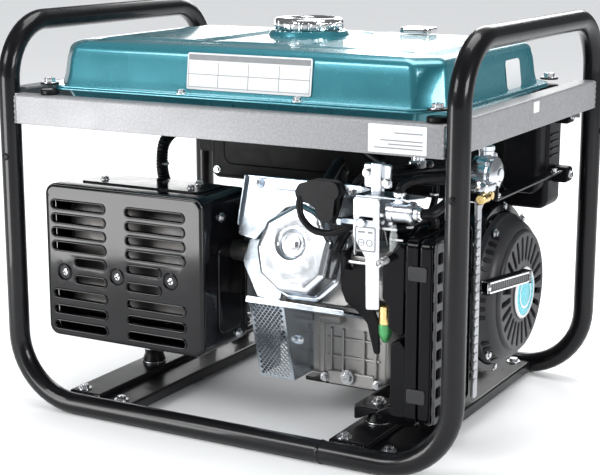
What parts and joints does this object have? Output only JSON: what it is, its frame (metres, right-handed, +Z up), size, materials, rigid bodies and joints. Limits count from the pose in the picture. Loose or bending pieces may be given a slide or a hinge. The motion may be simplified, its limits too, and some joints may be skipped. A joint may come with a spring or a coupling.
{
  "type": "portable generator",
  "caption": "Open-frame petrol generator: bent tube frame, pressed fuel tank, slanted engine with recoil starter, alternator, slotted muffler guard and rear control box.",
  "frame": {"origin": "on the floor, under the middle of the frame", "axes": "+Z up, +X along the crankshaft towards the recoil starter, +Y towards the control panel at the back"},
  "size_m": [0.681, 0.51, 0.545],
  "materials": {
    "frame_paint": "satin black powder coat",
    "bar_paint": "satin grey-black paint",
    "tank_paint": "teal metallic enamel",
    "gloss_enamel": "glossy black enamel",
    "panel_paint": "fine-textured dark grey paint",
    "chrome_trim": "bright chrome",
    "zinc_plate": "bright zinc plating",
    "machined_steel": "machined",
    "exhaust_steel": "heat-dulled steel",
    "cast_aluminium": "sand-cast",
    "polished_aluminium": "bright die-cast",
    "copper_winding": "lacquered copper wire and steel laminations",
    "brass_fitting": "turned brass",
    "white_plate": "pale plated plate",
    "black_plastic": "fine-grained moulded",
    "gloss_plastic": "glossy moulded",
    "grey_plastic": "satin dark grey moulded",
    "grip_plastic": "textured insert in a smooth rim",
    "blue_plastic": "moulded",
    "orange_plastic": "moulded",
    "rubber": "matt",
    "filter_paper": "pleated paper"
  },
  "bodies": {
    "frame": {"left_hoop": "frame_paint", "right_hoop": "frame_paint", "front_tank_bar": "bar_paint", "left_tank_bar": "bar_paint", "right_tank_bar": "bar_paint", "rear_tank_bar": "bar_paint", "left_cross_rail": "frame_paint", "right_cross_rail": "frame_paint", "rubber_mount_front_left": "rubber", "rubber_mount_rear_left": "rubber", "rubber_mount_front_right": "rubber", "rubber_mount_rear_right": "rubber", "engine_cradle": "frame_paint", "fuel_tank_upper": "tank_paint", "fuel_tank_lower": "tank_paint", "fuel_gauge_housing": "chrome_trim", "muffler_guard": "gloss_enamel", "muffler_shield": "gloss_enamel", "muffler_body": "exhaust_steel", "crankcase": "cast_aluminium", "crankcase_cover": "cast_aluminium", "cylinder_head": "cast_aluminium", "spark_plug": "zinc_plate", "valve_cover": "polished_aluminium", "cylinder_shroud": "zinc_plate", "outlet_mesh_guard": "zinc_plate", "blower_housing": "gloss_enamel", "recoil_cover": "grey_plastic", "carburetor": "cast_aluminium", "fuel_solenoid": "brass_fitting", "choke_panel": "white_plate", "air_cleaner_case": "gloss_plastic", "air_filter_element": "filter_paper", "spark_plug_lead": "rubber", "breather_hose": "rubber", "fuel_cock": "zinc_plate", "fuel_hose": "rubber", "output_cable": "rubber", "gas_regulator": "cast_aluminium", "stator_housing": "cast_aluminium", "alternator_end_cover": "cast_aluminium", "control_box": "black_plastic", "control_panel": "panel_paint"},
    "crank_train": {"crankshaft": "machined_steel", "rotor": "copper_winding", "flywheel": "cast_aluminium"},
    "piston": {"piston": "cast_aluminium"},
    "starter_grip": {"starter_grip": "grip_plastic"},
    "recoil_drum": {"recoil_drum": "black_plastic"},
    "cap_gasket": {"fuel_cap_gasket": "rubber"},
    "fuel_cap": {"fuel_cap": "chrome_trim"},
    "gauge_needle": {"fuel_gauge_needle": "orange_plastic"},
    "cock_lever": {"fuel_cock_lever": "black_plastic"},
    "choke_lever": {"choke_lever": "zinc_plate"},
    "dipstick": {"oil_dipstick": "black_plastic"},
    "air_cleaner_cover": {"air_cleaner_cover": "gloss_plastic"},
    "lid_left": {"socket_lid_left": "blue_plastic"},
    "lid_right": {"socket_lid_right": "blue_plastic"},
    "ignition_switch": {"ignition_switch": "black_plastic"},
    "breaker_lever": {"breaker_lever": "black_plastic"}
  },
  "joints": [
    {"name": "crankshaft_spin", "type": "hinge", "parent": "frame", "child": "crank_train", "pos_m": [0, 0.062, 0.172], "axis": [1, 0, 0], "continuous": true},
    {"name": "piston_stroke", "type": "slide", "parent": "frame", "child": "piston", "axis": [0, -0.9511, 0.309], "range_m": [-0.027, 0.027]},
    {"name": "starter_pull", "type": "slide", "parent": "frame", "child": "starter_grip", "axis": [1, 0, 0], "range_m": [0, 0.45], "stiffness_N_per_m": 8},
    {"name": "recoil_drum_spin", "type": "hinge", "parent": "frame", "child": "recoil_drum", "pos_m": [0.28, 0.062, 0.172], "axis": [1, 0, 0], "range_deg": [0, 600]},
    {"name": "cap_lift", "type": "slide", "parent": "frame", "child": "cap_gasket", "axis": [0, 0, 1], "range_m": [0, 0.08]},
    {"name": "cap_turn", "type": "hinge", "parent": "cap_gasket", "child": "fuel_cap", "pos_m": [0, 0, 0.527], "axis": [0, 0, 1], "range_deg": [0, 90]},
    {"name": "gauge_needle_swing", "type": "hinge", "parent": "frame", "child": "gauge_needle", "pos_m": [0.128, 0.08, 0.516], "axis": [0, 0, 1], "range_deg": [-60, 60]},
    {"name": "fuel_cock_turn", "type": "hinge", "parent": "frame", "child": "cock_lever", "pos_m": [0.222, -0.137, 0.362], "axis": [0, 1, 0], "range_deg": [-90, 0]},
    {"name": "choke_turn", "type": "hinge", "parent": "frame", "child": "choke_lever", "pos_m": [0.19, -0.214, 0.306], "axis": [0, 1, 0], "range_deg": [0, 35]},
    {"name": "dipstick_draw", "type": "slide", "parent": "frame", "child": "dipstick", "axis": [0, 1, 0], "range_m": [0, 0.07]},
    {"name": "air_cover_lift_off", "type": "slide", "parent": "frame", "child": "air_cleaner_cover", "axis": [1, 0, 0], "range_m": [0, 0.04]},
    {"name": "lid_left_open", "type": "hinge", "parent": "frame", "child": "lid_left", "pos_m": [-0.02, 0.2435, 0.361], "axis": [1, 0, 0], "range_deg": [0, 100], "stiffness_Nm_per_rad": 0.02},
    {"name": "lid_right_open", "type": "hinge", "parent": "frame", "child": "lid_right", "pos_m": [0.07, 0.2435, 0.361], "axis": [1, 0, 0], "range_deg": [0, 100], "stiffness_Nm_per_rad": 0.02},
    {"name": "ignition_turn", "type": "hinge", "parent": "frame", "child": "ignition_switch", "pos_m": [-0.19, 0.24, 0.345], "axis": [0, 1, 0], "range_deg": [0, 60]},
    {"name": "breaker_throw", "type": "hinge", "parent": "frame", "child": "breaker_lever", "pos_m": [-0.084, 0.24, 0.337], "axis": [1, 0, 0], "range_deg": [0, 24]}
  ],
  "couplings": [
    {"joint": "recoil_drum_spin", "follows": "starter_pull", "rad_per_m": 22.727}
  ]
}
